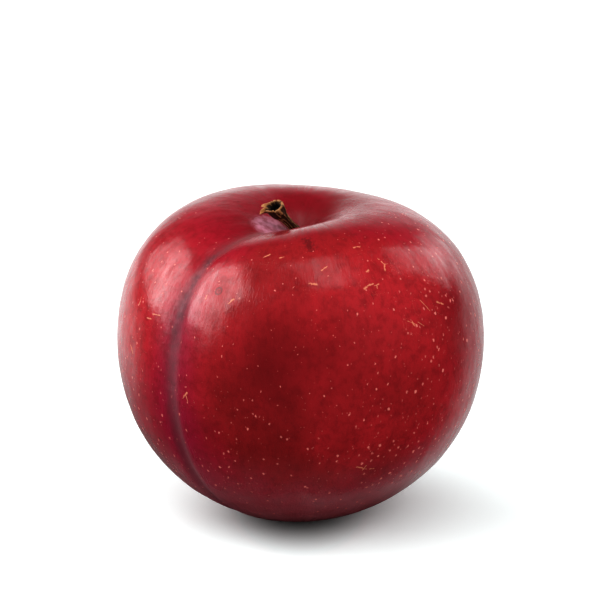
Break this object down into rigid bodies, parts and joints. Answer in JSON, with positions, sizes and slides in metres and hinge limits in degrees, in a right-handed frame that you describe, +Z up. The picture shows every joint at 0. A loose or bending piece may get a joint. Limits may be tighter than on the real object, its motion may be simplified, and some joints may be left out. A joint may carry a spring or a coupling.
{
  "type": "plum",
  "caption": "Ripe round red plum with a seam groove down one side, a stalk cavity on top, and a short woody stalk; rests on a small flat spot.",
  "frame": {"origin": "centre of the small flat spot the fruit rests on, under the middle of the fruit", "axes": "+Z up along the fruit's own axis to the stalk cavity; the seam of the fruit runs down the -Y side; +X is across the cheeks, to the fuller side of the seam"},
  "size_m": [0.065, 0.0624, 0.0584],
  "materials": {
    "skin": "smooth waxy skin, deep red, pale pink dots",
    "bark": "dry rough brown stalk with tan ridges"
  },
  "bodies": {
    "root": {"fruit": "skin", "stalk": "bark"}
  },
  "joints": []
}
